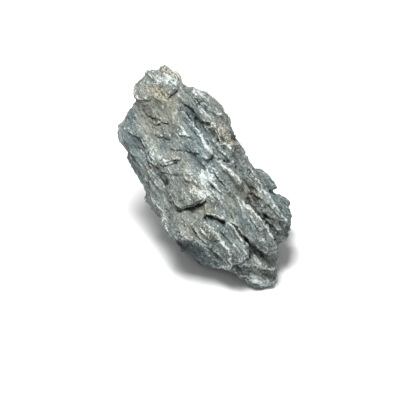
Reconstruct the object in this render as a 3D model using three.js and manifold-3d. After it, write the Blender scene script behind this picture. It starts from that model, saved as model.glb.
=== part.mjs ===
// Seiryu stone: one piece of layered grey limestone that leans back on a small flat base.
// Lengths are in millimetres. The front is drawn in its own plane: u to the right, v up the leaning
// front and w out of it, held as x, y and z of a Vector3. The finished stone has +Z up, faces -Y and
// has its origin in the middle of the base.
import * as THREE from 'three';
import { SimplifyModifier } from 'three/addons/modifiers/SimplifyModifier.js';
import { mergeVertices } from 'three/addons/utils/BufferGeometryUtils.js';
import Module from 'manifold-3d';

// Driving dimensions
const FRONT_DEPTH = 30; // from the rim to the foremost point
const REAR_DEPTH = 88; // from the rim to the rearmost point, before the rear is broken off
const FRONT_ROUNDING = 2.8; // 2 is an ellipse, more is fuller
const REAR_ROUNDING = 2.3;
const RIM_SQUEEZE = 0.22; // share by which the mesh is drawn from the rim to the front
const FRONT_LEAN = THREE.MathUtils.degToRad(35); // from the vertical
const MIDDLE = [-12, 0]; // of the body, on the front
const BED_SLOPE = THREE.MathUtils.degToRad(-52); // run of the beds across the front
const BED_DIP = 0.15; // how far the beds run out of the front, for each unit along it
const BED_SPACING = 21;
const BED_HEIGHT = 4; // of the steps in which the beds break off at the rear
const BED_RISE = 0.85; // share of a bed that climbs, before it drops
const LUMP_SIZE = 40;
const LUMP_HEIGHT = 3;
const BASE_LEVEL = 69.5; // height of the drawing's zero above the base
const BASE_CENTRE_X = 11; // middle of the base, to the right of the drawing's zero
const MESH_CELLS = [80, 59, 50]; // along the beds, across them and from front to rear
const MESH_POINTS = 5150; // that stay when the mesh is thinned out

// Where one thing passes over into the other, as heights out of the front
const LEDGE_FADE = [-26, -3]; // ledges start to show, and show in full
const BREAK_FADE = [-16, -4]; // the rear is broken off in full, and not at all
const REAR_FADE = [-18, -2]; // the rear ends, and the front starts

// Bowls that meet in sharp crests: lengths along the beds, across and through them, how much the bowls
// bend, their height, the depth that counts as none, and the number that fixes their places
const LARGE_FACES = { sizes: [62, 25, 28], bend: 0.22, height: 12, level: 0.4, seed: 41 };
const LARGE_FACES_ON_FRONT = 0.55; // share of their height
const SCALLOPS = { sizes: [30, 10, 12], bend: 0.3, height: 8, level: 0.35, seed: 61 };

// Shape of a ledge
const LEDGE_TAPER = 0.22; // share of its length over which it starts, and ends
const BANK_CURVE = 1.2; // 1 is straight, more is hollower
const CREVICE_CURVE = 1.4;

// Bends of the lines drawn on the front
const BEND_LENGTH = 9;
const BEND_WIDTH = 1.6;
const KINKS_PER_BEND = 2.6;

// Outline of the stone as seen straight onto the front, anticlockwise from the top edge
const OUTLINE = [
  [-44, 85], [-51, 86], [-58, 80], [-62, 76], [-63, 72], [-62, 62], [-64, 58], [-74, 41], [-73, 35],
  [-69, 26], [-44, -24], [-31, -46], [-23, -58], [-10, -68], [-5, -71], [1, -73], [8, -73], [14, -75],
  [25, -80], [31, -86], [35, -88], [46, -86], [48, -84], [51, -76], [53, -66], [54, -55], [60, -50],
  [65, -42], [66, -36], [65, -30], [63, -25], [60, -21], [51, -14], [48, -10], [50, -6], [47, -2],
  [43, 3], [23, 16], [22, 21], [21, 26], [19, 34], [8, 56], [-5, 68], [-20, 76], [-25, 83],
  [-28, 86], [-39, 90], [-42, 88],
];

// Ledges of the front. Each runs along its line, and the ground drops to the right of it: rise is the
// height of the edge, reach the width of the bank that climbs to it, cut and width the crevice below.
const LEDGES = [
  { name: 'left flank', rise: 6, reach: 16, cut: 2, width: 6,
    line: [[-68, 41], [-65, 36], [-58, 31], [-54, 26], [-49, 14], [-42, 3]] },
  { name: 'upper block crack', rise: 5, reach: 16, cut: 7, width: 5,
    line: [[-44, 6], [-42, 3], [-28, -24]] },
  { name: 'upper block lip', rise: 7, reach: 20, cut: 4, width: 4,
    line: [[-34, -17], [-30, -21], [-25, -23], [-20, -24], [-15, -23], [-5, -18], [-2, -14]] },
  { name: 'slab lip', rise: 4, reach: 16, cut: 5, width: 5,
    line: [[-19, 74], [-10, 59], [-4, 54], [8, 48], [12, 43]] },
  { name: 'pitted ridge', rise: 9, reach: 11, cut: 4, width: 6,
    line: [[23, 14], [10, 28], [-2, 48], [-10, 55], [-20, 74]] },
  { name: 'long crest', rise: 8, reach: 20, cut: 4, width: 6,
    line: [[5, 15], [-3, 25], [-14, 42], [-30, 59]] },
  { name: 'white crest', rise: 8, reach: 20, cut: 5, width: 8,
    line: [[27, -11], [23, -3], [16, 5], [1, 16]] },
  { name: 'shoulder crest', rise: 8, reach: 14, cut: 4, width: 6,
    line: [[60, -43], [58, -34], [54, -26], [49, -22], [46, -13], [40, -8], [36, -2], [25, 10]] },
  { name: 'right block crest', rise: 14, reach: 22, cut: 6, width: 9,
    line: [[50, -62], [48, -50], [45, -42], [40, -34], [27, -21], [22, -14]] },
  { name: 'right block lip', rise: 12, reach: 18, cut: 9, width: 7,
    line: [[12, -32], [29, -50], [42, -59], [49, -62]] },
  { name: 'middle block crest', rise: 9, reach: 16, cut: 6, width: 8,
    line: [[30, -67], [21, -44], [17, -38], [11, -32]] },
  { name: 'spine crest', rise: 7, reach: 14, cut: 3, width: 6,
    line: [[17, -69], [13, -57], [-2, -36], [-6, -31]] },
  { name: 'belly lip', rise: 16, reach: 27, cut: 16, width: 15,
    line: [[-42, -29], [-32, -46], [-27, -48], [-14, -50], [-10, -52], [-2, -60]] },
  { name: 'middle block foot', rise: 11, reach: 18, cut: 8, width: 8,
    line: [[2, -73], [16, -69], [29, -64]] },
  { name: 'foot lip', rise: 10, reach: 16, cut: 8, width: 8,
    line: [[16, -68], [21, -70], [32, -70], [53, -74]] },
  { name: 'recess lip', rise: 7, reach: 13, cut: 5, width: 5,
    line: [[-8, -31], [-2, -30], [13, -35]] },
  { name: 'wrinkle', rise: 4, reach: 11, cut: 2, width: 3,
    line: [[-45, 18], [-40, 14], [-35, 12], [-26, 14], [-23, 18]] },
  { name: 'knob crack', rise: 6, reach: 13, cut: 4, width: 3,
    line: [[-37, 61], [-28, 70], [-26, 82]] },
  { name: 'left knob foot', rise: 5, reach: 13, cut: 2, width: 6,
    line: [[-62, 64], [-57, 61], [-52, 61], [-46, 64]] },
];

// Ovals on the front: centre, long and short half width, slope of the long axis in degrees, height.
// Swells rise or sink softly.
const SWELLS = [
  { at: [2, 30], half: [64, 13], slope: -57, height: 5 },
  { at: [-10, -40], half: [32, 14], slope: -38, height: 9 },
  { at: [34, -38], half: [22, 10], slope: -42, height: 8 },
  { at: [50, -29], half: [21, 9], slope: -52, height: 5 },
  { at: [-19, -10], half: [21, 12], slope: -30, height: 5 },
  { at: [-50, 70], half: [16, 11], slope: 20, height: 4 },
  { at: [-43, 42], half: [24, 16], slope: -50, height: -3 },
  { at: [-14, -62], half: [27, 6], slope: -32, height: -7 },
  { at: [34, -76], half: [17, 4], slope: -8, height: -4 },
  { at: [37, -85], half: [16, 5], slope: -5, height: 6 },
  { at: [40, -62], half: [11, 5], slope: -30, height: 2 },
];

// Hollows and bosses have a steeper side and a flat middle.
const HOLLOWS = [
  { at: [31, -14], half: [6.4, 5.2], slope: -50, height: -5 },
  { at: [11, 14], half: [4, 2.1], slope: -50, height: -3 },
  { at: [18, 31], half: [4.8, 2.1], slope: -60, height: -4 },
  { at: [45, -25], half: [4, 2.8], slope: -40, height: -2 },
  { at: [61, -37], half: [6.4, 3.2], slope: -75, height: -2.5 },
  { at: [14, -26], half: [3.2, 2.4], slope: -60, height: -3 },
  { at: [-45, 70], half: [4.8, 3.2], slope: -50, height: -1.8 },
  { at: [-31, 18], half: [4.8, 2.4], slope: -20, height: 1.6 },
];

// Ragged parts of the front
const RAGGED = [
  { at: [2, 40], half: [27, 11], slope: -55 },
  { at: [24, 2], half: [24, 13], slope: -45 },
  { at: [50, -29], half: [27, 13], slope: -55 },
  { at: [-6, -50], half: [32, 11], slope: -38 },
];

// Plain parts of the front, 1 being the plainest
const PLAIN = [
  { at: [-42, 42], half: [34, 19], slope: -60, share: 1 },
  { at: [-4, 62], half: [18, 7], slope: -45, share: 0.8 },
  { at: [28, -35], half: [14, 7], slope: -50, share: 0.9 },
  { at: [-6, -40], half: [14, 7], slope: -45, share: 0.8 },
  { at: [30, -79], half: [16, 6], slope: -10, share: 0.8 },
  { at: [-18, -59], half: [15, 5], slope: -30, share: 0.8 },
  { at: [-59, 26], half: [14, 7], slope: -60, share: 1 },
  { at: [-19, -12], half: [13, 7], slope: -35, share: 0.8 },
  { at: [52, -28], half: [11, 6], slope: -55, share: 0.7 },
];

// Flat breaks of the rear: the way each faces, in the frame of the finished stone, and its distance
// from the heart of the stone
const HEART = new THREE.Vector3(2, 3, -17.5);
const BREAKS = [
  { facing: [0.15, 0.62, 0.77], distance: 58 },
  { facing: [-0.62, 0.7, 0.35], distance: 56 },
  { facing: [0.72, 0.66, 0.2], distance: 57 },
  { facing: [0.05, 0.98, -0.15], distance: 66 },
  { facing: [-0.9, 0.25, -0.35], distance: 55 },
  { facing: [-0.35, 0.8, -0.48], distance: 62 },
  { facing: [0.92, 0.05, -0.38], distance: 60 },
  { facing: [0.5, 0.72, -0.48], distance: 62 },
  { facing: [0.93, 0.1, 0.35], distance: 56 },
  { facing: [-0.75, 0.35, 0.56], distance: 60 },
  { facing: [0.45, 0.5, 0.74], distance: 60 },
  { facing: [-0.3, 0.93, 0.22], distance: 64 },
];

// Directions of the beds: along them, across them and through them
const ALONG = new THREE.Vector3(Math.cos(BED_SLOPE), Math.sin(BED_SLOPE), BED_DIP).normalize();
const ACROSS = new THREE.Vector3(-Math.sin(BED_SLOPE) * 0.85, Math.cos(BED_SLOPE) * 0.85, 0.5)
  .projectOnPlane(ALONG)
  .normalize();
const THROUGH = new THREE.Vector3().crossVectors(ALONG, ACROSS);

const { clamp, smoothstep, degToRad } = THREE.MathUtils;

// Fixed pseudo-random whole number for a cell of space
function cellNumber(i, j, k, seed) {
  let n = Math.imul(i, 374761393) + Math.imul(j, 668265263) + Math.imul(k, 1274126177);
  n = (n + Math.imul(seed, 2246822519)) >>> 0;
  n = Math.imul(n ^ (n >>> 13), 1103515245) >>> 0;
  n = Math.imul(n ^ (n >>> 15), 2654435761) >>> 0;
  return (n ^ (n >>> 16)) >>> 0;
}

// Three fixed numbers from 0 to 1 for a cell of space
function cellVector(i, j, k, seed) {
  const n = cellNumber(i, j, k, seed);
  return [n & 1023, (n >>> 10) & 1023, (n >>> 20) & 1023].map((part) => part / 1023);
}

// Smooth noise, about -1 to 1, with one swing for each unit of length
function noise(x, y, z, seed) {
  const cell = [Math.floor(x), Math.floor(y), Math.floor(z)];
  const inside = [x - cell[0], y - cell[1], z - cell[2]];
  const fade = inside.map((t) => t * t * t * (t * (t * 6 - 15) + 10));
  let total = 0;
  for (let corner = 0; corner < 8; corner += 1) {
    const step = [corner & 1, (corner >> 1) & 1, (corner >> 2) & 1];
    const slope = cellVector(cell[0] + step[0], cell[1] + step[1], cell[2] + step[2], seed);
    let weight = 1;
    let height = 0;
    for (let axis = 0; axis < 3; axis += 1) {
      weight *= step[axis] ? fade[axis] : 1 - fade[axis];
      height += (2 * slope[axis] - 1) * (inside[axis] - step[axis]);
    }
    total += weight * height;
  }
  return total * 1.6;
}

// Place of a point among the beds, in units of the lengths given for along, across and through
function inBeds(point, along, across, through) {
  return [point.dot(ALONG) / along, point.dot(ACROSS) / across, point.dot(THROUGH) / through];
}

// Height of shallow bowls that meet in sharp crests: each is the squared distance to its lowest point
function bowls(point, { sizes, bend, height, level, seed }) {
  const place = inBeds(point, ...sizes);
  const [x, y, z] = place.map((t) => t * 1.8);
  const q = place.map((t, axis) => t + bend * noise(x, y, z, seed + 1 + axis));
  const cell = q.map(Math.floor);
  let nearest = 9;
  for (let n = 0; n < 27; n += 1) {
    const step = [n % 3, Math.floor(n / 3) % 3, Math.floor(n / 9)];
    const at = cell.map((whole, axis) => whole + step[axis] - 1);
    const spread = cellVector(...at, seed);
    let squared = 0;
    for (let axis = 0; axis < 3; axis += 1) {
      squared += (at[axis] + 0.5 + 0.9 * (spread[axis] - 0.5) - q[axis]) ** 2;
    }
    nearest = Math.min(nearest, squared);
  }
  return height * (nearest - level);
}

// Beds that break off in steps: each rises gently and then drops
function beds(point) {
  const [x, y, z] = inBeds(point, 1, 1, 1);
  const sway = noise(x * 0.012, y * 0.035, z * 0.035, 51);
  const ripple = noise(x * 0.04, y * 0.09, z * 0.09, 52);
  const layer = y / BED_SPACING + 0.9 * sway + 0.35 * ripple;
  const part = layer - Math.floor(layer);
  return (part < BED_RISE ? part / BED_RISE : (1 - part) / (1 - BED_RISE)) - 0.5;
}

// Distance from the middle of an oval on the front, 1 at its edge
function ovalDistance(u, v, oval) {
  const turn = degToRad(oval.slope);
  const du = u - oval.at[0];
  const dv = v - oval.at[1];
  const along = (du * Math.cos(turn) + dv * Math.sin(turn)) / oval.half[0];
  const across = (dv * Math.cos(turn) - du * Math.sin(turn)) / oval.half[1];
  return Math.hypot(along, across);
}

// Height that one ledge adds at a point of the front
function ledgeHeight(u, v, ledge) {
  let nearest = Infinity;
  let side = 0;
  let travelled = 0;
  let travelledAtNearest = 0;
  for (let i = 1; i < ledge.line.length; i += 1) {
    const [u0, v0] = ledge.line[i - 1];
    const du = ledge.line[i][0] - u0;
    const dv = ledge.line[i][1] - v0;
    const length = Math.hypot(du, dv);
    const share = clamp(((u - u0) * du + (v - v0) * dv) / length ** 2, 0, 1);
    const distance = Math.hypot(u - u0 - share * du, v - v0 - share * dv);
    if (distance < nearest) {
      nearest = distance;
      side = Math.sign(du * (v - v0) - dv * (u - u0));
      travelledAtNearest = travelled + share * length;
    }
    travelled += length;
  }
  const share = travelledAtNearest / travelled;
  const taper = smoothstep(share, 0, LEDGE_TAPER) * smoothstep(1 - share, 0, LEDGE_TAPER);
  const across = nearest * side;
  const halfEdge = 0.7 + 0.09 * ledge.rise;
  const step = smoothstep(across, -halfEdge, halfEdge);
  const bank = ledge.rise * Math.max(0, 1 - Math.max(across, 0) / ledge.reach) ** BANK_CURVE;
  const crevice = -ledge.cut * Math.max(0, 1 + Math.min(across, 0) / ledge.width) ** CREVICE_CURVE;
  return taper * (bank * step + crevice * (1 - step));
}

// Height of all that is placed by hand on the front, with its lines slightly bent
function frontHeight(point) {
  const [a, b] = [point.x / BEND_LENGTH, point.y / BEND_LENGTH];
  const [c, d] = [a * KINKS_PER_BEND, b * KINKS_PER_BEND];
  const u = point.x + BEND_WIDTH * noise(a, b, 0, 11) + noise(c, d, 0, 12);
  const v = point.y + BEND_WIDTH * noise(a, b, 0, 13) + noise(c, d, 0, 14);
  let height = 0;
  for (const ledge of LEDGES) {
    height += ledgeHeight(u, v, ledge);
  }
  for (const swell of SWELLS) {
    height += swell.height * Math.exp(-(ovalDistance(u, v, swell) ** 2));
  }
  for (const hollow of HOLLOWS) {
    height += hollow.height * (1 - smoothstep(ovalDistance(u, v, hollow), 0.55, 1.15));
  }
  return height;
}

// Distance from the middle to the outline
function outlineRadius(angle) {
  const cos = Math.cos(angle);
  const sin = Math.sin(angle);
  for (let i = 0; i < OUTLINE.length; i += 1) {
    const [u0, v0] = OUTLINE[i].map((t, axis) => t - MIDDLE[axis]);
    const [u1, v1] = OUTLINE[(i + 1) % OUTLINE.length].map((t, axis) => t - MIDDLE[axis]);
    const before = cos * v0 - sin * u0;
    const after = cos * v1 - sin * u1;
    const ahead = cos * u0 + sin * v0 > 0;
    if (ahead && before <= 0 && after > 0) {
      const share = before / (before - after);
      return cos * (u0 + share * (u1 - u0)) + sin * (v0 + share * (v1 - v0));
    }
  }
  return 0;
}

// Moves a point of the unit sphere to the smooth body of the stone
function toBody(point) {
  const polar = Math.acos(clamp(point.z, -1, 1));
  const tilt = polar < Math.PI / 2 ? polar - RIM_SQUEEZE * Math.sin(2 * polar) : polar;
  const isFront = Math.cos(tilt) > 0;
  const power = isFront ? FRONT_ROUNDING : REAR_ROUNDING;
  const [s, c] = [Math.sin(tilt), Math.cos(tilt)];
  const fullness = (Math.abs(s) ** power + Math.abs(c) ** power) ** (-1 / power);
  const angle = Math.atan2(point.y, point.x);
  const radius = outlineRadius(angle) * s * fullness;
  const depth = (isFront ? FRONT_DEPTH : REAR_DEPTH) * c * fullness;
  point.set(MIDDLE[0] + radius * Math.cos(angle), MIDDLE[1] + radius * Math.sin(angle), depth);
}

// Breaks the rear off in flat faces
function breakRear(point) {
  const share = 1 - smoothstep(point.z, ...BREAK_FADE);
  const sideways = new THREE.Vector3(1, 0, 0);
  for (const { facing, distance } of BREAKS) {
    const out = new THREE.Vector3(...facing).normalize();
    out.applyAxisAngle(sideways, FRONT_LEAN - Math.PI / 2);
    const over = point.clone().sub(HEART).dot(out) - distance;
    point.addScaledVector(out, -Math.max(over, 0) * share);
  }
}

// 0 on the front, 1 on the rear
function rearShare(point) {
  return 1 - smoothstep(point.z, ...REAR_FADE);
}

// Large faces of the whole stone, and the beds and lumps of the rear
function largeForm(point) {
  const rear = rearShare(point);
  const share = LARGE_FACES_ON_FRONT + (1 - LARGE_FACES_ON_FRONT) * rear;
  const [x, y, z] = point.toArray().map((t) => t / LUMP_SIZE);
  const lumps = LUMP_HEIGHT * (noise(x, y, z, 31) + 0.5 * noise(2 * x, 2 * y, 2 * z, 32));
  return share * bowls(point, LARGE_FACES) + rear * (BED_HEIGHT * beds(point) + lumps);
}

// Scallops a few centimetres long, weak on the plain part and strong on the ragged ones
function smallForm(point) {
  const rear = rearShare(point);
  const closeness = (oval) => Math.exp(-(ovalDistance(point.x, point.y, oval) ** 2));
  const ragged = Math.max(rear, ...RAGGED.map(closeness));
  const plain = Math.max(...PLAIN.map((oval) => oval.share * closeness(oval))) * (1 - rear);
  return (0.8 - 0.5 * plain + 0.2 * ragged) * bowls(point, SCALLOPS);
}

// Applies a change to every point of a geometry
function movePoints(geometry, change) {
  const position = geometry.attributes.position;
  const normal = geometry.attributes.normal;
  const point = new THREE.Vector3();
  const out = new THREE.Vector3();
  for (let i = 0; i < position.count; i += 1) {
    point.fromBufferAttribute(position, i);
    if (normal) {
      out.fromBufferAttribute(normal, i);
    }
    change(point, out);
    position.setXYZ(i, point.x, point.y, point.z);
  }
}

// Draws every point towards the middle of its neighbours, which evens out ledges and spikes
function soften(geometry, rounds) {
  const position = geometry.attributes.position;
  const corners = geometry.index.array;
  for (let round = 0; round < rounds; round += 1) {
    const sums = Array.from({ length: position.count }, () => new THREE.Vector3());
    const counts = new Array(position.count).fill(0);
    const neighbour = new THREE.Vector3();
    for (let i = 0; i < corners.length; i += 1) {
      const next = i % 3 === 2 ? corners[i - 2] : corners[i + 1];
      sums[corners[i]].add(neighbour.fromBufferAttribute(position, next));
      counts[corners[i]] += 1;
    }
    for (let i = 0; i < position.count; i += 1) {
      neighbour.fromBufferAttribute(position, i).lerp(sums[i].divideScalar(counts[i]), 0.5);
      position.setXYZ(i, neighbour.x, neighbour.y, neighbour.z);
    }
  }
}

// Moves every point along its normal by the height that form gives there
function raise(geometry, form) {
  geometry.computeVertexNormals();
  movePoints(geometry, (point, out) => point.addScaledVector(out, form(point)));
}

// The whole stone, its flat places drawn with few points and its edges with many
function roughStone() {
  const box = new THREE.BoxGeometry(2, 2, 2, ...MESH_CELLS);
  box.deleteAttribute('normal');
  box.deleteAttribute('uv');
  const stone = mergeVertices(box, 1e-4);
  const upright = new THREE.Vector3(0, 0, 1);
  movePoints(stone, (point) => {
    const even = point.toArray().map((t) => Math.tan((t * Math.PI) / 4));
    point.fromArray(even);
    point.normalize();
    point.applyAxisAngle(upright, BED_SLOPE);
    toBody(point);
    const front = smoothstep(point.z, ...LEDGE_FADE);
    const height = frontHeight(point);
    breakRear(point);
    point.z += height * front;
  });
  soften(stone, 2);
  raise(stone, largeForm);
  raise(stone, smallForm);
  stone.deleteAttribute('normal');
  stone.rotateX(Math.PI / 2 - FRONT_LEAN);
  stone.translate(-BASE_CENTRE_X, 0, BASE_LEVEL);
  const spare = stone.attributes.position.count - MESH_POINTS;
  return new SimplifyModifier().modify(stone, spare);
}

// Solid for cutting and joining
function toSolid(wasm, geometry) {
  const mesh = new wasm.Mesh({
    numProp: 3,
    vertProperties: new Float32Array(geometry.attributes.position.array),
    triVerts: new Uint32Array(geometry.index.array),
  });
  return new wasm.Manifold(mesh);
}

// The stone without what would reach below the base
async function flatBasedStone() {
  const wasm = await Module();
  wasm.setup();
  const ground = new THREE.BoxGeometry(400, 400, 100).translate(0, 0, -50);
  ground.deleteAttribute('normal');
  ground.deleteAttribute('uv');
  const cut = toSolid(wasm, await roughStone()).subtract(toSolid(wasm, mergeVertices(ground)));
  const mesh = cut.getMesh();
  const geometry = new THREE.BufferGeometry();
  geometry.setAttribute('position', new THREE.BufferAttribute(new Float32Array(mesh.vertProperties), 3));
  geometry.setIndex(new THREE.BufferAttribute(new Uint32Array(mesh.triVerts), 1));
  geometry.computeVertexNormals();
  return geometry;
}

const limestone = new THREE.MeshStandardMaterial({ color: 0x8a8d88, roughness: 0.85, metalness: 0 });
const stone = new THREE.Mesh(await flatBasedStone(), limestone);
stone.name = 'seiryu_stone';

const part = new THREE.Group();
part.add(stone);
export default part;
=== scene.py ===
"""Looks of the seiryu stone: a layered grey limestone with pale calcite crests and brown stains.

Its form is worked out in millimetres, as in the CAD part, and then made finer. The front is drawn
in its own plane: u to the right, v up the leaning front and w out of it.
"""

import math

import bpy
import numpy as np
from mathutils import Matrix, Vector


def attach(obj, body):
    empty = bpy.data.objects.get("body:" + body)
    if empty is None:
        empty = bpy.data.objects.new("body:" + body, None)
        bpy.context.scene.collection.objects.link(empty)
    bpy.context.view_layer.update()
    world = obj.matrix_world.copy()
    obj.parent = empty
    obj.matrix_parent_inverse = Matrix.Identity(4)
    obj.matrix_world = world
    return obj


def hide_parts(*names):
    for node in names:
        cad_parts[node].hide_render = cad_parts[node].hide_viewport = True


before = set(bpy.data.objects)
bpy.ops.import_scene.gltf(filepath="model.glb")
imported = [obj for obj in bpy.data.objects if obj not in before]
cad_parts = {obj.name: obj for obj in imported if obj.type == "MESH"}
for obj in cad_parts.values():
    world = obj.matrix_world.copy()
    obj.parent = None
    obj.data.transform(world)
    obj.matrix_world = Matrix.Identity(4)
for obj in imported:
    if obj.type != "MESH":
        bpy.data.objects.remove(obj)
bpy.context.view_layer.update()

# Driving dimensions of the form, in millimetres, the same as in the CAD part
FRONT_DEPTH = 30  # from the rim to the foremost point
REAR_DEPTH = 88  # from the rim to the rearmost point, before the rear is broken off
FRONT_ROUNDING = 2.8  # 2 is an ellipse, more is fuller
REAR_ROUNDING = 2.3
RIM_SQUEEZE = 0.22  # share by which the mesh is drawn from the rim to the front
FRONT_LEAN = math.radians(35)  # from the vertical
MIDDLE = (-12, 0)  # of the body, on the front
BED_SLOPE = math.radians(-52)  # run of the beds across the front
BED_DIP = 0.15  # how far the beds run out of the front, for each unit along it
BED_SPACING = 21
BED_HEIGHT = 4  # of the steps in which the beds break off at the rear
BED_RISE = 0.85  # share of a bed that climbs, before it drops
LUMP_SIZE = 40
LUMP_HEIGHT = 3
BASE_LEVEL = 69.5  # height of the drawing's zero above the base
BASE_CENTRE_X = 11  # middle of the base, to the right of the drawing's zero

# Dimensions of the finer form
THIN_BED_SPACING = 6.5
THIN_BED_HEIGHT = 2
THIN_BED_RISE = 0.82
HOLE_DEPTH = 1.6

# Meshes
ROUGH_CELLS = (110, 82, 70)  # of the rough mesh: along the beds, across them and front to rear
GRAIN_SIZE = 1.0  # side of the fine mesh's squares, in millimetres
MM = 0.001

# Rounds of softening: for the ledges, for the directions in which the surface is raised, and for
# the surfaces that tell a small dip and a broad one
LEDGE_ROUNDS = 2
RAISE_ROUNDS = 30
FINE_DIP_ROUNDS = 4
BROAD_DIP_ROUNDS = 40

# Where one thing passes over into the other, as heights out of the front
LEDGE_FADE = (-26, -3)  # ledges start to show, and show in full
BREAK_FADE = (-16, -4)  # the rear is broken off in full, and not at all
REAR_FADE = (-18, -2)  # the rear ends, and the front starts
BASE_FADE = (0.3, 5)  # heights above the base at which small forms start, and show in full

# Bowls that meet in sharp crests: lengths along the beds, across and through them, how much the
# bowls bend, their height, the depth that counts as none, and the number that fixes their places
LARGE_FACES = {"sizes": (62, 25, 28), "bend": 0.22, "height": 12, "level": 0.4, "seed": 41}
LARGE_FACES_ON_FRONT = 0.55  # share of their height
SCALLOPS = {"sizes": (30, 10, 12), "bend": 0.3, "height": 8, "level": 0.35, "seed": 61}
CHIPS = {"sizes": (16, 5.2, 6), "bend": 0.3, "height": 3.6, "level": 0.3, "seed": 71}
SMALL_CHIPS = {"sizes": (7, 2.8, 3.2), "bend": 0.3, "height": 1.4, "level": 0.3, "seed": 73}

# Shape of a ledge
LEDGE_TAPER = 0.22  # share of its length over which it starts, and ends
EDGE_WIDTH = 0.5  # half the width of the drop
EDGE_WIDENING = 0.09  # for each unit of rise
BANK_CURVE = 1.2  # 1 is straight, more is hollower
CREVICE_CURVE = 1.4
CREST_PLACE = 0.5  # of the pale crest, up from the line
CREST_WIDTH = 0.85

# Where a firm oval's slope starts, and ends: 0 is its middle, 1 its outline
FIRM_EDGE = (0.55, 1.15)

# Where the ends of the beds start to show, and show in full: 1 is straight along the beds
BED_END_FADE = (0.4, 0.8)

# Bends of the lines drawn on the front
BEND_LENGTH = 9
BEND_WIDTH = 1.6
KINKS_PER_BEND = 2.6
CRUMBS_PER_BEND = 6
CRUMB_WIDTH = 0.5

# Outline of the stone as seen straight onto the front, anticlockwise from the top edge
OUTLINE = [
    (-44, 85), (-51, 86), (-58, 80), (-62, 76), (-63, 72), (-62, 62), (-64, 58), (-74, 41),
    (-73, 35), (-69, 26), (-44, -24), (-31, -46), (-23, -58), (-10, -68), (-5, -71), (1, -73),
    (8, -73), (14, -75), (25, -80), (31, -86), (35, -88), (46, -86), (48, -84), (51, -76),
    (53, -66), (54, -55), (60, -50), (65, -42), (66, -36), (65, -30), (63, -25), (60, -21),
    (51, -14), (48, -10), (50, -6), (47, -2), (43, 3), (23, 16), (22, 21), (21, 26), (19, 34),
    (8, 56), (-5, 68), (-20, 76), (-25, 83), (-28, 86), (-39, 90), (-42, 88),
]

# Ledges of the front: rise of the edge, reach of the bank that climbs to it, cut and width of the
# crevice below, and the line. The ground drops to the right of the line.
LEDGES = {
    "left flank": (6, 16, 2, 6, [(-68, 41), (-65, 36), (-58, 31), (-54, 26), (-49, 14), (-42, 3)]),
    "upper block crack": (5, 16, 7, 5, [(-44, 6), (-42, 3), (-28, -24)]),
    "upper block lip": (7, 20, 4, 4, [
        (-34, -17), (-30, -21), (-25, -23), (-20, -24), (-15, -23), (-5, -18), (-2, -14),
    ]),
    "slab lip": (4, 16, 5, 5, [(-19, 74), (-10, 59), (-4, 54), (8, 48), (12, 43)]),
    "pitted ridge": (9, 11, 4, 6, [(23, 14), (10, 28), (-2, 48), (-10, 55), (-20, 74)]),
    "long crest": (8, 20, 4, 6, [(5, 15), (-3, 25), (-14, 42), (-30, 59)]),
    "white crest": (8, 20, 5, 8, [(27, -11), (23, -3), (16, 5), (1, 16)]),
    "shoulder crest": (8, 14, 4, 6, [
        (60, -43), (58, -34), (54, -26), (49, -22), (46, -13), (40, -8), (36, -2), (25, 10),
    ]),
    "right block crest": (14, 22, 6, 9, [
        (50, -62), (48, -50), (45, -42), (40, -34), (27, -21), (22, -14),
    ]),
    "right block lip": (12, 18, 9, 7, [(12, -32), (29, -50), (42, -59), (49, -62)]),
    "middle block crest": (9, 16, 6, 8, [(30, -67), (21, -44), (17, -38), (11, -32)]),
    "spine crest": (7, 14, 3, 6, [(17, -69), (13, -57), (-2, -36), (-6, -31)]),
    "belly lip": (16, 27, 16, 15, [
        (-42, -29), (-32, -46), (-27, -48), (-14, -50), (-10, -52), (-2, -60),
    ]),
    "middle block foot": (11, 18, 8, 8, [(2, -73), (16, -69), (29, -64)]),
    "foot lip": (10, 16, 8, 8, [(16, -68), (21, -70), (32, -70), (53, -74)]),
    "recess lip": (7, 13, 5, 5, [(-8, -31), (-2, -30), (13, -35)]),
    "wrinkle": (4, 11, 2, 3, [(-45, 18), (-40, 14), (-35, 12), (-26, 14), (-23, 18)]),
    "knob crack": (6, 13, 4, 3, [(-37, 61), (-28, 70), (-26, 82)]),
    "left knob foot": (5, 13, 2, 6, [(-62, 64), (-57, 61), (-52, 61), (-46, 64)]),
}

# Small wrinkles of the front: the lines of low ledges that are alike in height
WRINKLES = [
    [(-50, 36), (-37, 31), (-30, 28)], [(-27, 34), (-19, 31), (-12, 28)],
    [(-44, 6), (-32, 3), (-21, 2), (-12, 4)], [(9, 13), (19, 8), (29, 1)],
    [(-47, 42), (-39, 44), (-34, 42)], [(-42, 11), (-33, 9), (-27, 12)],
    [(-55, 52), (-46, 47), (-38, 46)], [(-22, 24), (-15, 19), (-9, 18)],
    [(-34, 24), (-27, 22), (-20, 23)], [(-24, -2), (-14, -5), (-8, -9)],
    [(-16, -34), (-8, -38), (0, -46)], [(26, -30), (33, -36), (38, -46)],
    [(-57, 22), (-50, 12), (-47, 2)], [(20, -76), (30, -79), (42, -80)],
    [(0, 6), (8, -6), (17, -15)],
]

# Rise, reach, cut and width, as for a ledge, of each wrinkle and of the crisp lip on each ledge
WRINKLE_SHAPE = (2, 7, 1.8, 2)
LIP_SHAPE = (1.1, 4, 1.4, 2)

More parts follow.
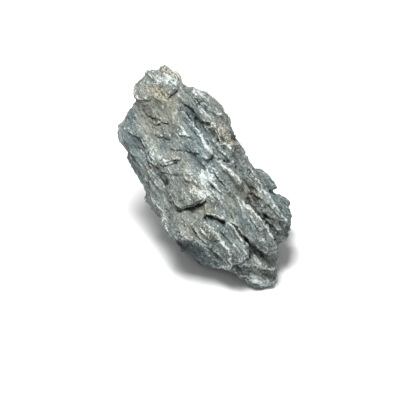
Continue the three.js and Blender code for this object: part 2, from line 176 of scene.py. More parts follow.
# Ovals on the front: u and v of the centre, long and short half width, slope of the long axis in
# degrees, and height or strength
SWELLS = [
    (2, 30, 64, 13, -57, 5), (-10, -40, 32, 14, -38, 9), (34, -38, 22, 10, -42, 8),
    (50, -29, 21, 9, -52, 5), (-19, -10, 21, 12, -30, 5), (-50, 70, 16, 11, 20, 4),
    (-43, 42, 24, 16, -50, -3), (-14, -62, 27, 6, -32, -7), (34, -76, 17, 4, -8, -4),
    (37, -85, 16, 5, -5, 6), (40, -62, 11, 5, -30, 2),
]
HOLLOWS = [
    (31, -14, 6.4, 5.2, -50, -5), (11, 14, 4, 2.1, -50, -3), (18, 31, 4.8, 2.1, -60, -4),
    (45, -25, 4, 2.8, -40, -2), (61, -37, 6.4, 3.2, -75, -2.5), (14, -26, 3.2, 2.4, -60, -3),
    (-45, 70, 4.8, 3.2, -50, -1.8), (-31, 18, 4.8, 2.4, -20, 1.6),
]
PITS = [
    (28, 6, 4, 1.6, -30, -2.4), (42, -31, 1.5, 1.5, 0, -2.6), (-8, 43, 1.9, 1.5, -50, -2.4),
    (-3, 42, 2, 1.3, -50, -2.2), (-14, 47, 1.7, 1.3, -50, -2), (4, 29, 2.2, 1.4, -50, -2.2),
    (0, 33, 3.2, 2, -40, -1.8), (8, 22, 1.9, 1.3, -50, -2), (14, 12, 1.6, 1.3, -40, -2),
]
RAGGED = [
    (2, 40, 27, 11, -55, 1), (24, 2, 24, 13, -45, 1), (50, -29, 27, 13, -55, 1),
    (-6, -50, 32, 11, -38, 1),
]
PLAIN = [
    (-42, 42, 34, 19, -60, 1), (-4, 62, 18, 7, -45, 0.8), (28, -35, 14, 7, -50, 0.9),
    (-6, -40, 14, 7, -45, 0.8), (30, -79, 16, 6, -10, 0.8), (-18, -59, 15, 5, -30, 0.8),
    (-59, 26, 14, 7, -60, 1), (-19, -12, 13, 7, -35, 0.8), (52, -28, 11, 6, -55, 0.7),
]

# Pale calcite that is painted on the front; the ovals at (36, -80) on the foot and at (-5, 63) on
# the upper slab are painted light, on faces that the lamp leaves too dark
CALCITE_AND_PAINTED_LIGHT = [
    (-40, 77, 13, 6, 10, 1), (-3, 0.5, 8, 5, -40, 1.6), (-10, -13, 14, 6, -30, 1.05),
    (6, -15, 7, 6, -45, 0.5), (3, -8, 4, 3, -60, 0.6), (-10, -50, 6, 5, -35, 0.6),
    (7, -50, 17, 2, -58, 0.45), (20, -44, 8, 2, -65, 0.4), (37, -34, 19, 2, -50, 0.4),
    (30, -34, 3, 2.5, 0, 0.6), (37, -48, 4, 2.5, 20, 0.6), (45, -16, 23, 2, -54, 0.4),
    (10, 8, 7, 1.6, -42, 0.3), (20, -3, 4, 3, -45, -0.9), (-24, 35, 7, 2.8, 0, 0.8),
    (-44, 44, 3, 1.6, 0, 0.7), (-40, 39, 3, 1.4, 0, 0.6), (-67, 48, 3, 3.5, 0, 0.6),
    (32, 8, 4, 1.8, -20, 0.8), (-12, 40, 27, 1.5, -53, 0.25), (2, 45, 32, 1.4, -57, 0.3),
    (-5, 63, 18, 7, -45, 0.75), (36, -80, 17, 8, -8, 1),
]

# Brown and tan stains
BROWN = [
    (-48, 50, 26, 17, -50, 0.6), (-32, 84, 11, 5, -20, 1.2), (-40, 66, 13, 6, -40, 1),
    (10, 35, 14, 4, -52, 0.8), (15, 28, 4, 2, -60, 0.9), (1, 36, 15, 7, -52, 0.5),
    (-6, -25, 9, 4, -5, 0.8), (31, -13, 8, 7, -50, 1), (-10, -44, 16, 10, -35, 0.5),
    (-16, -8, 18, 10, -35, 0.4), (-46, 8, 3, 4.5, -70, 0.9), (-26, 14, 10, 4, -10, 0.5),
    (24, 4, 14, 6, -45, 0.35), (-12, -12, 12, 5, -35, 0.4),
]

# Painted shade in crevices, pits, under ledges and on shaded facets, and painted light where the
# strength is negative: on the foot, the middle and the upper slab
PAINTED_LIGHT_AND_SHADE = [
    (31, -12, 6, 5, -50, 0.75), (-30, 69, 8, 2, 59, 0.9), (17, 32, 5, 3, -60, 1.3),
    (12, 14, 4, 2.2, -45, 0.8), (28, 6, 4, 1.7, -30, 0.8), (-18, -24.5, 15, 1.8, 3, 0.9),
    (-35.5, -9, 16, 1.7, -64, 1.15), (3, -33, 9, 1.6, -14, 1), (-22, -56, 18, 5, -24, 1),
    (30, -51, 20, 2, -38, 1.1), (46, -38, 17, 3.5, -55, 0.6), (42, -31, 1.5, 1.5, 0, 1),
    (61, -37, 7, 3.2, -75, 0.7), (33, -71, 15, 1.6, -6, 0.8), (-59, 28, 11, 6, -50, 0.8),
    (35, -80, 20, 9, -8, -1.6), (0, -6, 18, 11, -40, -0.35), (-4, 64, 16, 7, -45, -0.6),
    (-9, 42, 1.5, 1.2, 0, 1), (-3, 42, 1.6, 1.1, 0, 1), (-14, 46, 1.3, 1.1, 0, 1),
    (4, 29, 1.7, 1.2, 0, 1), (-46, 14, 2.5, 0.9, -10, 0.8), (36, -20, 5, 2.5, -50, 0.5),
]

# What is painted on the front: attribute, ovals, least and most strength
PAINT = [("calcite", CALCITE_AND_PAINTED_LIGHT, -0.8, 1.5), ("brown", BROWN, 0, 1), ("painted_light_and_shade", PAINTED_LIGHT_AND_SHADE, -0.8, 1.25)]

# Flat breaks of the rear: the way each faces, in the frame, and its distance from the heart of
# the stone
HEART = (2, 3, -17.5)
BREAKS = [
    ((0.15, 0.62, 0.77), 58), ((-0.62, 0.7, 0.35), 56), ((0.72, 0.66, 0.2), 57),
    ((0.05, 0.98, -0.15), 66), ((-0.9, 0.25, -0.35), 55), ((-0.35, 0.8, -0.48), 62),
    ((0.92, 0.05, -0.38), 60), ((0.5, 0.72, -0.48), 62), ((0.93, 0.1, 0.35), 56),
    ((-0.75, 0.35, 0.56), 60), ((0.45, 0.5, 0.74), 60), ((-0.3, 0.93, 0.22), 64),
]


def unit(vector):
    vector = np.array(vector, float)
    return vector / np.linalg.norm(vector)


# Directions of the beds in the drawing: along them, across them and through them. Across is mostly
# in the plane of the front and partly out of it.
ALONG = unit((math.cos(BED_SLOPE), math.sin(BED_SLOPE), BED_DIP))
SIDEWAYS = np.array((-math.sin(BED_SLOPE) * 0.85, math.cos(BED_SLOPE) * 0.85, 0.5))
ACROSS = unit(SIDEWAYS - SIDEWAYS @ ALONG * ALONG)
THROUGH = np.cross(ALONG, ACROSS)
BEDS = np.stack([ALONG, ACROSS, THROUGH], axis=1)

# Turn from the drawing to the frame
LEAN_SIN = math.sin(FRONT_LEAN)
LEAN_COS = math.cos(FRONT_LEAN)
UPRIGHT = np.array([[1, 0, 0], [0, LEAN_SIN, LEAN_COS], [0, -LEAN_COS, LEAN_SIN]])
BASE_SHIFT = np.array([-BASE_CENTRE_X, 0, BASE_LEVEL])


def to_frame(points):
    return points @ UPRIGHT + BASE_SHIFT


def to_drawing(points):
    return (points - BASE_SHIFT) @ UPRIGHT.T


# Fixed pseudo-random numbers and noise, the same as in the CAD part

def smoothstep(value, low, high):
    t = np.clip((value - low) / (high - low), 0, 1)
    return t * t * (3 - 2 * t)


def cell_vector(cell, seed):
    """Three fixed numbers from 0 to 1 for each cell of space."""
    n = cell @ np.array((374761393, 668265263, 1274126177)) + seed * 2246822519
    n = n & 0xFFFFFFFF
    n = ((n ^ (n >> 13)) * 1103515245) & 0xFFFFFFFF
    n = ((n ^ (n >> 15)) * 2654435761) & 0xFFFFFFFF
    n = n ^ (n >> 16)
    return np.stack([n & 1023, (n >> 10) & 1023, (n >> 20) & 1023], axis=1) / 1023


def noise(place, seed):
    """Smooth noise, scaled to about -1 to 1, with one swing for each unit of length."""
    cell = np.floor(place).astype(np.int64)
    inside = place - cell
    fade = inside ** 3 * (inside * (inside * 6 - 15) + 10)
    total = np.zeros(len(place))
    for corner in range(8):
        step = np.array([corner & 1, (corner >> 1) & 1, (corner >> 2) & 1])
        slope = 2 * cell_vector(cell + step, seed) - 1
        weight = np.prod(np.where(step, fade, 1 - fade), axis=1)
        total += weight * np.sum(slope * (inside - step), axis=1)
    return total * 1.6


def bowls(points, sizes, bend, height, level, seed):
    """Height of bowls that meet in sharp crests, from the squared distance to the nearest of many
    scattered points."""
    place = points @ BEDS / np.array(sizes)
    sway = np.stack([noise(place * 1.8, seed + 1 + axis) for axis in range(3)], axis=1)
    place = place + bend * sway
    cell = np.floor(place).astype(np.int64)
    nearest = np.full(len(points), 9.0)
    for n in range(27):
        at = cell + np.array([n % 3, n // 3 % 3, n // 9]) - 1
        squared = np.sum((at + 0.5 + 0.9 * (cell_vector(at, seed) - 0.5) - place) ** 2, axis=1)
        nearest = np.minimum(nearest, squared)
    return height * (nearest - level)


def steps(layer, rise):
    """Steps from -0.5 to 0.5, one a layer: each climbs over a share of the layer and then drops."""
    part = layer - np.floor(layer)
    return np.where(part < rise, part / rise, (1 - part) / (1 - rise)) - 0.5


def beds(points):
    """Beds that break off in steps: each rises gently and then drops."""
    place = points @ BEDS
    sway = noise(place * (0.012, 0.035, 0.035), 51)
    ripple = noise(place * (0.04, 0.09, 0.09), 52)
    return steps(place[:, 1] / BED_SPACING + 0.9 * sway + 0.35 * ripple, BED_RISE)


# Form of the stone

def oval_distance(u, v, oval):
    """Distance from the middle of an oval, 1 at its edge."""
    turn = math.radians(oval[4])
    du = u - oval[0]
    dv = v - oval[1]
    along = (du * math.cos(turn) + dv * math.sin(turn)) / oval[2]
    across = (dv * math.cos(turn) - du * math.sin(turn)) / oval[3]
    return np.hypot(along, across)


def soft_ovals(u, v, ovals):
    return sum(oval[5] * np.exp(-oval_distance(u, v, oval) ** 2) for oval in ovals)


def firm_ovals(u, v, ovals):
    return sum(oval[5] * (1 - smoothstep(oval_distance(u, v, oval), *FIRM_EDGE)) for oval in ovals)


def ledge_height(u, v, rise, reach, cut, width, line):
    """Height that one ledge adds, and how near the point is to its crest."""
    nearest = np.full(len(u), np.inf)
    side = np.zeros(len(u))
    travelled_at_nearest = np.zeros(len(u))
    travelled = 0.0
    for (u0, v0), (u1, v1) in zip(line, line[1:]):
        du = u1 - u0
        dv = v1 - v0
        length = math.hypot(du, dv)
        share = np.clip(((u - u0) * du + (v - v0) * dv) / length ** 2, 0, 1)
        distance = np.hypot(u - u0 - share * du, v - v0 - share * dv)
        closer = distance < nearest
        side = np.where(closer, np.sign(du * (v - v0) - dv * (u - u0)), side)
        travelled_at_nearest = np.where(closer, travelled + share * length, travelled_at_nearest)
        nearest = np.where(closer, distance, nearest)
        travelled += length
    share = travelled_at_nearest / travelled
    taper = smoothstep(share, 0, LEDGE_TAPER) * smoothstep(1 - share, 0, LEDGE_TAPER)
    across = nearest * side
    half_edge = EDGE_WIDTH + EDGE_WIDENING * rise
    step = smoothstep(across, -half_edge, half_edge)
    bank = rise * np.maximum(0, 1 - np.maximum(across, 0) / reach) ** BANK_CURVE
    crevice = -cut * np.maximum(0, 1 + np.minimum(across, 0) / width) ** CREVICE_CURVE
    crest = taper * np.exp(-((across - CREST_PLACE) / CREST_WIDTH) ** 2)
    return taper * (bank * step + crevice * (1 - step)), crest


def bent_lines(points):
    """Place on the front that the listed lines are drawn at, slightly bent."""
    at = points * (1, 1, 0) / BEND_LENGTH

    def bends(*seeds):
        return (BEND_WIDTH * noise(at, seeds[0]) + noise(at * KINKS_PER_BEND, seeds[1])
                + CRUMB_WIDTH * noise(at * CRUMBS_PER_BEND, seeds[2]))

    return points[:, 0] + bends(11, 12, 15), points[:, 1] + bends(13, 14, 16)


def front_height(points):
    """Height of all that is placed one by one on the front."""
    u, v = bent_lines(points)
    height = soft_ovals(u, v, SWELLS) + firm_ovals(u, v, HOLLOWS)
    for ledge in LEDGES.values():
        height += ledge_height(u, v, *ledge)[0]
    return height


def crests(points):
    """1 on the crest of a ledge, 0 away from it."""
    u, v = bent_lines(points)
    return np.max([ledge_height(u, v, *ledge)[1] for ledge in LEDGES.values()], axis=0)


def outline_radius(angle):
    corners = np.array(OUTLINE, float) - MIDDLE
    corners = corners[np.argsort(np.arctan2(corners[:, 1], corners[:, 0]))]
    turns = np.arctan2(corners[:, 1], corners[:, 0])
    after = np.searchsorted(turns, angle) % len(turns)
    start = corners[after - 1]
    run = corners[after] - start
    return ((run[:, 1] * start[:, 0] - run[:, 0] * start[:, 1])
            / (run[:, 1] * np.cos(angle) - run[:, 0] * np.sin(angle)))


def to_body(directions):
    """Moves points of the unit sphere to the smooth body of the stone."""
    polar = np.arccos(np.clip(directions[:, 2], -1, 1))
    tilt = np.where(polar < math.pi / 2, polar - RIM_SQUEEZE * np.sin(2 * polar), polar)
    sine = np.abs(np.sin(tilt))
    cosine = np.cos(tilt)
    power = np.where(cosine > 0, FRONT_ROUNDING, REAR_ROUNDING)
    fullness = (sine ** power + np.abs(cosine) ** power) ** (-1 / power)
    angle = np.arctan2(directions[:, 1], directions[:, 0])
    radius = outline_radius(angle) * sine * fullness
    depth = np.where(cosine > 0, FRONT_DEPTH, REAR_DEPTH) * cosine * fullness
    across = MIDDLE[0] + radius * np.cos(angle)
    up = MIDDLE[1] + radius * np.sin(angle)
    return np.stack([across, up, depth], axis=1)


def break_rear(points):
    """Breaks the rear off in flat faces."""
    share = 1 - smoothstep(points[:, 2], *BREAK_FADE)
    for facing, distance in BREAKS:
        out = unit(facing) @ UPRIGHT.T
        over = (points - HEART) @ out - distance
        points = points - (np.maximum(over, 0) * share)[:, None] * out
    return points


def rear_share(points):
    """0 on the front, 1 on the rear."""
    return 1 - smoothstep(points[:, 2], *REAR_FADE)


def large_form(points):
    """Large faces of the whole stone, and the beds and lumps of the rear."""
    rear = rear_share(points)
    share = LARGE_FACES_ON_FRONT + (1 - LARGE_FACES_ON_FRONT) * rear
    lumps = LUMP_HEIGHT * (noise(points / LUMP_SIZE, 31) + 0.5 * noise(points * 2 / LUMP_SIZE, 32))
    return share * bowls(points, **LARGE_FACES) + rear * (BED_HEIGHT * beds(points) + lumps)


def raggedness(points):
    """How ragged and how plain the surface is, each from 0 to 1."""
    rear = rear_share(points)
    ragged = [soft_ovals(points[:, 0], points[:, 1], [oval]) for oval in RAGGED]
    plain = [soft_ovals(points[:, 0], points[:, 1], [oval]) for oval in PLAIN]
    return np.max([rear, *ragged], axis=0), np.max(plain, axis=0) * (1 - rear)


def small_form(points):
    """Scallops a few centimetres long, weak on the plain part and strong on the ragged ones."""
    ragged, plain = raggedness(points)
    return (0.8 - 0.5 * plain + 0.2 * ragged) * bowls(points, **SCALLOPS)


def end_share(points):
    """1 on the rear where the ends of the beds show, 0 elsewhere."""
    outward = points - HEART
    facing = np.abs(outward @ ALONG) / np.linalg.norm(outward, axis=1)
    return smoothstep(facing, *BED_END_FADE) * rear_share(points)


def thin_beds(points):
    """Thin beds that break off in small crisp steps."""
    place = points @ BEDS
    sway = noise(place * (0.02, 0.07, 0.07), 81) + 0.45 * noise(place * (0.06, 0.2, 0.2), 82)
    return THIN_BED_HEIGHT * steps(place[:, 1] / THIN_BED_SPACING + 1.2 * sway, THIN_BED_RISE)


def fine_form(points):
    """Chips, thin beds, bedding grain, pits, wrinkles and lips, finer than the CAD part's form."""
    ragged, plain = raggedness(points)
    rear = rear_share(points)
    place = points @ BEDS
    patch = smoothstep(noise(points / 22, 75), -0.5, 0.5)
    chipped = 0.5 + 0.3 * patch + 0.35 * ragged - 0.4 * plain
    chipped = chipped - 0.18 * rear - 0.5 * end_share(points)
    chips = chipped * (bowls(points, **CHIPS) + bowls(points, **SMALL_CHIPS))
    broken = smoothstep(noise(place / (26, 12, 12), 83), -0.35, 0.35)
    layers = (0.55 + 0.65 * ragged - 0.2 * plain) * broken * thin_beds(points)
    grain = 0.45 * noise(place / (6, 1.9, 2.2), 77) + 0.25 * noise(place / (3, 1.2, 1.3), 78)
    pierced = 0.15 + 0.2 * patch + 0.5 * (ragged - rear)
    holes = -HOLE_DEPTH * pierced * smoothstep(noise(place / (4.2, 2.8, 2.8), 79), 0.42, 0.62)
    u, v = bent_lines(points)
    wrinkles = sum(ledge_height(u, v, *WRINKLE_SHAPE, line)[0] for line in WRINKLES)
    lips = sum(ledge_height(u, v, *LIP_SHAPE, ledge[-1])[0] for ledge in LEDGES.values())
    placed = (firm_ovals(u, v, PITS) + wrinkles + lips) * (1 - rear)
    return chips + layers + grain + holes + placed


# Meshes

def cube_grid(cells):
    """Corners and quads of a cube's surface, its corners spread evenly over the unit sphere."""
    numbers = {}
    corners = []
    quads = []

    def corner(key):
        if key not in numbers:
            numbers[key] = len(corners)
            corners.append([math.tan((2 * key[axis] / cells[axis] - 1) * math.pi / 4)
                            for axis in range(3)])
        return numbers[key]

    for axis in range(3):
        first = (axis + 1) % 3
        second = (axis + 2) % 3
        for end in (0, 1):
            for i in range(cells[first]):
                for j in range(cells[second]):
                    quad = []
                    for di, dj in ((0, 0), (1, 0), (1, 1), (0, 1)):
                        key = [0, 0, 0]
                        key[axis] = cells[axis] * end
                        key[first] = i + di
                        key[second] = j + dj
                        quad.append(corner(tuple(key)))
                    quads.append(quad if end else quad[::-1])
    sphere = np.array(corners)
    sphere /= np.linalg.norm(sphere, axis=1)[:, None]
    cosine = math.cos(BED_SLOPE)
    sine = math.sin(BED_SLOPE)
    turn = np.array([[cosine, sine, 0], [-sine, cosine, 0], [0, 0, 1]])
    return sphere @ turn, np.array(quads)


def quad_normals(points, quads):
    first, second, third, fourth = (points[quads[:, corner]] for corner in range(4))
    across = np.cross(third - first, fourth - second)
    normals = np.zeros_like(points)
    for corner in range(4):
        for axis in range(3):
            normals[:, axis] += np.bincount(quads[:, corner], across[:, axis], len(points))
    return normals / np.maximum(np.linalg.norm(normals, axis=1), 1e-12)[:, None]


def quad_edges(quads):
    return np.concatenate([quads[:, [0, 1]], quads[:, [1, 2]], quads[:, [2, 3]], quads[:, [3, 0]]])


def soften(points, quads, rounds):
    """Draws every point towards the middle of its neighbours."""
    edges = quad_edges(quads)
    counts = np.bincount(edges[:, 0], minlength=len(points))[:, None]
    for _ in range(rounds):
        middle = np.stack([np.bincount(edges[:, 0], points[edges[:, 1], axis], len(points))
                           for axis in range(3)], axis=1) / counts
        points = 0.5 * points + 0.5 * middle
    return points


def rough_stone():
    """The stone's large form, in the drawing."""
    points, quads = cube_grid(ROUGH_CELLS)
    points = to_body(points)
    front = smoothstep(points[:, 2], *LEDGE_FADE)
    height = front_height(points)
    points = break_rear(points)
    points[:, 2] += height * front
    points = soften(points, quads, LEDGE_ROUNDS)
    points = points + quad_normals(points, quads) * large_form(points)[:, None]
    return points, quads


def largest_part(points, quads):
    """The mesh without specks that hang loose beside it."""
    edges = quad_edges(quads)
    part = np.arange(len(points))
    joined = None
    while joined is None or np.any(joined != part):
        joined = part
        part = joined.copy()
        np.minimum.at(part, edges[:, 0], joined[edges[:, 1]])
        part = part[part]
    kept = part == np.bincount(part).argmax()
    number = np.cumsum(kept) - 1
    return points[kept], number[quads[kept[quads[:, 0]]]]


def new_mesh(name, points, faces):
    mesh = bpy.data.meshes.new(name)
    mesh.from_pydata((points * MM).tolist(), [], faces.tolist())
    mesh.update()
    thing = bpy.data.objects.new(name, mesh)
    bpy.context.scene.collection.objects.link(thing)
    return thing


def even_out(points, quads):
    """The same form as even squares of the grain's size, closed and without folds."""
    rough = new_mesh("rough_form", points, quads)
    remesh = rough.modifiers.new("even squares", "REMESH")
    remesh.mode = "VOXEL"
    remesh.voxel_size = GRAIN_SIZE * MM
    evaluated = rough.evaluated_get(bpy.context.evaluated_depsgraph_get())
    mesh = bpy.data.meshes.new_from_object(evaluated)
    even = np.empty(len(mesh.vertices) * 3)
    mesh.vertices.foreach_get("co", even)
    squares = np.empty(len(mesh.polygons) * 4, np.int32)
    mesh.polygons.foreach_get("vertices", squares)
    bpy.data.objects.remove(rough)
    bpy.data.meshes.remove(mesh)
    return largest_part(even.reshape(-1, 3) / MM, squares.reshape(-1, 4))


def add_attribute(mesh, name, values):
    attribute = mesh.attributes.new(name, "FLOAT", "POINT")
    attribute.data.foreach_set("value", np.asarray(values, np.float32))


def seiryu_stone():
    points, quads = rough_stone()
    points = to_frame(points)
    points[:, 2] = np.maximum(points[:, 2], 0)
    points, quads = even_out(points, quads)
    above_base = smoothstep(points[:, 2], *BASE_FADE)
    for form in (small_form, fine_form):
        height = form(to_drawing(points)) * above_base
        outward = quad_normals(soften(points, quads, RAISE_ROUNDS), quads)
        points = points + outward * height[:, None]
    points[:, 2] = np.maximum(points[:, 2], 0)

    stone = new_mesh("layered_stone", points, quads)
    stone.data.shade_smooth()
    normals = quad_normals(points, quads)
    # How far each point sits in a small and in a broad dip: the material paints shade into the dips
    # and pales the worn edges
    for name, rounds in (("fine_dip", FINE_DIP_ROUNDS), ("broad_dip", BROAD_DIP_ROUNDS)):
        dip = np.sum((soften(points, quads, rounds) - points) * normals, axis=1)
        add_attribute(stone.data, name, dip)
    drawn = to_drawing(points)
    front = 1 - rear_share(drawn)
    u, v = bent_lines(drawn)
    add_attribute(stone.data, "crest", crests(drawn) * front)
    # Painted ovals: calcite, with painted light on the foot and the upper slab, brown stains, and
    # painted light and shade
    for name, ovals, least, most in PAINT:
        add_attribute(stone.data, name, np.clip(soft_ovals(u, v, ovals), least, most) * front)
    return stone


# Materials

class Field:
    """A value that changes over a surface, written in expressions as a number is."""

    def __init__(self, recipe, socket):
        self.recipe = recipe
        self.socket = socket

    def math(self, operation, first, second):
        return self.recipe.node("ShaderNodeMath", {"operation": operation}, {0: first, 1: second})

    def __add__(self, other):
        return self.math("ADD", self, other)

    def __sub__(self, other):
        return self.math("SUBTRACT", self, other)

    def __rsub__(self, other):
        return self.math("SUBTRACT", other, self)

    def __mul__(self, other):
        return self.math("MULTIPLY", self, other)

    def at_least(self, least):
        return self.math("MAXIMUM", self, least)

    def size(self):
        """The value without its sign."""
        return self.recipe.node("ShaderNodeMath", {"operation": "ABSOLUTE"}, {0: self})

    def ramp(self, low, high):
        """0 below low and 1 above high, or the other way round where low is more."""
        return self.recipe.node("ShaderNodeMapRange", {"interpolation_type": "SMOOTHSTEP"},
                                {"Value": self, "From Min": low, "From Max": high})


class Recipe:
    """The nodes of one material."""

    def __init__(self, name):
        self.material = bpy.data.materials.new(name)
        self.material.use_nodes = True
        self.tree = self.material.node_tree
        self.surface = self.tree.nodes["Principled BSDF"]

    def node(self, kind, settings=None, sockets=None, output=0):
        node = self.tree.nodes.new(kind)
        for name, value in (settings or {}).items():
            setattr(node, name, value)
        for name, value in (sockets or {}).items():
            self.fill(node.inputs[name], value)
        return Field(self, node.outputs[output])

    def fill(self, socket, value):
        if isinstance(value, Field):
            self.tree.links.new(value.socket, socket)
        else:
            socket.default_value = value

    def attribute(self, name):
        return self.node("ShaderNodeAttribute", {"attribute_name": name}, output="Fac")

    def colour(self, factor, first, second):
        """Second colour over the first by factor."""
        return self.node("ShaderNodeMix", {"data_type": "RGBA"},
                         {0: factor, 6: first, 7: second}, output=2)

    def brightness(self, colour, factor):
        return self.node("ShaderNodeVectorMath", {"operation": "SCALE"},
                         {0: colour, "Scale": factor})


def bed_places(recipe):
    """Place among the beds in millimetres: along them, across them and through them."""
    place = recipe.node("ShaderNodeTexCoord", output="Object")
    return [recipe.node("ShaderNodeVectorMath", {"operation": "DOT_PRODUCT"},
                        {0: place, 1: tuple(direction / MM)}, output="Value")
            for direction in BEDS.T @ UPRIGHT]


def cloud(recipe, parts, sizes, detail, roughness):
    """Noise from 0 to 1."""
    stretched = recipe.node("ShaderNodeCombineXYZ", sockets={
        axis: parts[axis] * (1 / sizes[axis]) for axis in range(3)})
    return recipe.node("ShaderNodeTexNoise", sockets={
        "Vector": stretched, "Scale": 1.0, "Detail": detail, "Roughness": roughness})


# Noise of the colours: lengths of its swings along, across and through the beds in millimetres,
# detail and roughness
CLOUDS = {
    "broad": ((70, 34, 34), 2, 0.55),
    "patchy": ((22, 12, 12), 4, 0.55),
    "streaks": ((16, 1.9, 2.6), 4, 0.6),
    "cracks": ((34, 8, 10), 3, 0.55),
    "broken": ((30, 16, 16), 2, 0.55),
    "grain": ((2.2, 1.5, 1.6), 4, 0.7),
    "speckle": ((1.0, 0.8, 0.8), 2, 0.7),
}

BLUE_GREY = (0.146, 0.186, 0.187, 1)
GREY = (0.205, 0.226, 0.206, 1)
BROWN_GREY = (0.19, 0.192, 0.155, 1)
TAN = (0.42, 0.385, 0.295, 1)
PALE_CALCITE = (0.62, 0.67, 0.645, 1)
# Near black for painted shade, for thin cracks and for dark dots
PAINTED_SHADE_CRACK_AND_DOT_BLACK = (0.02, 0.021, 0.02, 1)

# Share of the colour below that each layer covers at most
BROWN_COVER = 0.9
TAN_COVER = 0.6
CALCITE_COVER = 0.8
FLECK_COVER = 0.6
SHADE_AND_CRACK_COVER = 0.93
DOT_COVER = 0.55

TONE = 0.85  # brightness of the stone's own colours
DARKEST_TONE = 0.25
STONE_ROUGHNESS = 0.92
CALCITE_POLISH = 0.18  # by which calcite is smoother
STONE_SPECULAR = 0.35
BUMP_DEPTH = 2.6  # of the grain, in millimetres


def limestone():
    recipe = Recipe("limestone")
    parts = bed_places(recipe)
    broad, patchy, streaks, cracks, broken, grain, speckle = (
        cloud(recipe, parts, *row) for row in CLOUDS.values())
    fine_dip, broad_dip, crest, calcite, brown, painted_light_and_shade = (
        recipe.attribute(name)
        for name in ("fine_dip", "broad_dip", "crest", "calcite", "brown", "painted_light_and_shade"))

    # The stone's own colours, lighter and darker along the beds and in the grain
    colour = recipe.colour(broad.ramp(0.38, 0.62), BLUE_GREY, GREY)
    stained = (brown * 1.1 + patchy * 1.6).ramp(0.95, 1.5)
    colour = recipe.colour(stained * BROWN_COVER, colour, BROWN_GREY)
    colour = recipe.colour((brown * grain * 2).ramp(0.7, 1.15) * TAN_COVER, colour, TAN)
    tone = (patchy - 0.5) * 1.5 + (streaks - 0.5) * 2.3
    tone = tone + (grain - 0.5) * 2.8 + (speckle - 0.5) * 1.9 + 1
    colour = recipe.brightness(colour, (tone * TONE).at_least(DARKEST_TONE))

    # Pale calcite on crests and worn edges, and in flecks, and painted light on the foot and the
    # upper slab from two of the calcite ovals
    worn = (0 - fine_dip).ramp(0.08, 0.42) * grain.ramp(0.25, 0.6)
    ragged_edge = (patchy - 0.5) * 2.4 + (grain - 0.5) * 3.2 + (streaks - 0.5) * 1.8
    pale = (calcite * 0.75 + crest * 0.75 + worn * 0.7 + ragged_edge * 0.75).ramp(0.4, 1.05)
    colour = recipe.colour(pale * CALCITE_COVER, colour, PALE_CALCITE)
    flecks = speckle.ramp(0.66, 0.74) * patchy.ramp(0.48, 0.64)
    colour = recipe.colour(flecks * FLECK_COVER, colour, PALE_CALCITE)

    # Painted shade in small and broad dips, in crevices and on shaded facets, less of it where the
    # painted ovals are negative, then thin cracks along the beds and dark dots
    painted_dip_shade = fine_dip.ramp(0.08, 0.6) * 0.75 + broad_dip.ramp(0.4, 2.4) * 0.55
    crack = (cracks - 0.5).size().ramp(0.016, 0.003) * broken.ramp(0.46, 0.56)
    painted_shade_and_cracks = (painted_dip_shade + painted_light_and_shade * 0.85 + crack * 0.7 + (grain - 0.5) * 0.5).ramp(0.1, 1.15)
    colour = recipe.colour(painted_shade_and_cracks * SHADE_AND_CRACK_COVER, colour, PAINTED_SHADE_CRACK_AND_DOT_BLACK)
    colour = recipe.colour(speckle.ramp(0.36, 0.28) * DOT_COVER, colour, PAINTED_SHADE_CRACK_AND_DOT_BLACK)

    recipe.fill(recipe.surface.inputs["Base Color"], colour)
    recipe.fill(recipe.surface.inputs["Roughness"], STONE_ROUGHNESS - pale * CALCITE_POLISH)
    recipe.surface.inputs["Specular IOR Level"].default_value = STONE_SPECULAR
    height = grain * 0.55 + streaks * 0.4 + speckle * 0.25
    bump = recipe.node("ShaderNodeBump", sockets={
        "Strength": 1.0, "Distance": BUMP_DEPTH * MM, "Height": height})
    recipe.fill(recipe.surface.inputs["Normal"], bump)
    return recipe.material


FLOOR_REACH = 3000  # from its middle to each side, in millimetres
FLOOR_COLOUR = (0.82, 0.82, 0.82, 1)
FLOOR_ROUGHNESS = 0.8


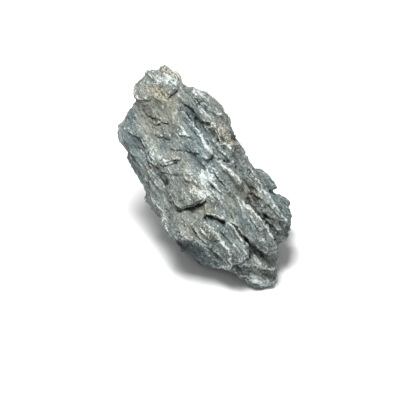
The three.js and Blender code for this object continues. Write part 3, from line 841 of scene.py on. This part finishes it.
def plain_floor():
    corners = np.array([(-1, -1, 0), (1, -1, 0), (1, 1, 0), (-1, 1, 0)]) * FLOOR_REACH
    floor = new_mesh("floor", corners, np.array([(0, 1, 2, 3)]))
    recipe = Recipe("pale_floor")
    recipe.surface.inputs["Base Color"].default_value = FLOOR_COLOUR
    recipe.surface.inputs["Roughness"].default_value = FLOOR_ROUGHNESS
    floor.data.materials.append(recipe.material)
    return floor


# Light and camera, in metres

SOFT_BOX_PLACE = (-0.12, -0.36, 1.08)
SOFT_BOX_AIM = (0, 0.03, 0.06)
SOFT_BOX_SIZE = 0.34
SOFT_BOX_WATTS = 21.8
SKY_STRENGTH = 0.43
CAMERA_AIM = (-0.0206, -0.0101, 0.0551)
CAMERA_DISTANCE = 1.6
VIEW_WIDTH = 0.32  # at the aim
SENSOR_WIDTH = 36  # in millimetres


def turned_towards(thing, start, aim):
    thing.location = start
    thing.rotation_mode = "QUATERNION"
    thing.rotation_quaternion = (Vector(aim) - Vector(start)).to_track_quat("-Z", "Y")


def soft_light():
    world = bpy.data.worlds.new("studio")
    world.use_nodes = True
    world.node_tree.nodes["Background"].inputs["Color"].default_value = (1, 1, 1, 1)
    world.node_tree.nodes["Background"].inputs["Strength"].default_value = SKY_STRENGTH
    bpy.context.scene.world = world
    light = bpy.data.lights.new("soft_box", "AREA")
    light.size = SOFT_BOX_SIZE
    light.energy = SOFT_BOX_WATTS
    lamp = bpy.data.objects.new("soft_box", light)
    turned_towards(lamp, SOFT_BOX_PLACE, SOFT_BOX_AIM)
    bpy.context.scene.collection.objects.link(lamp)


def photo_camera():
    camera = bpy.data.cameras.new("photo_camera")
    camera.sensor_width = SENSOR_WIDTH
    camera.lens = SENSOR_WIDTH * CAMERA_DISTANCE / VIEW_WIDTH
    eye = bpy.data.objects.new("photo_camera", camera)
    back = Vector((0, -LEAN_COS, LEAN_SIN)) * CAMERA_DISTANCE
    turned_towards(eye, Vector(CAMERA_AIM) + back, CAMERA_AIM)
    bpy.context.scene.collection.objects.link(eye)
    bpy.context.scene.camera = eye


stone = seiryu_stone()
stone.data.materials.append(limestone())
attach(stone, "root")
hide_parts("seiryu_stone")
plain_floor()
soft_light()
photo_camera()
bpy.context.scene.view_settings.view_transform = "Standard"
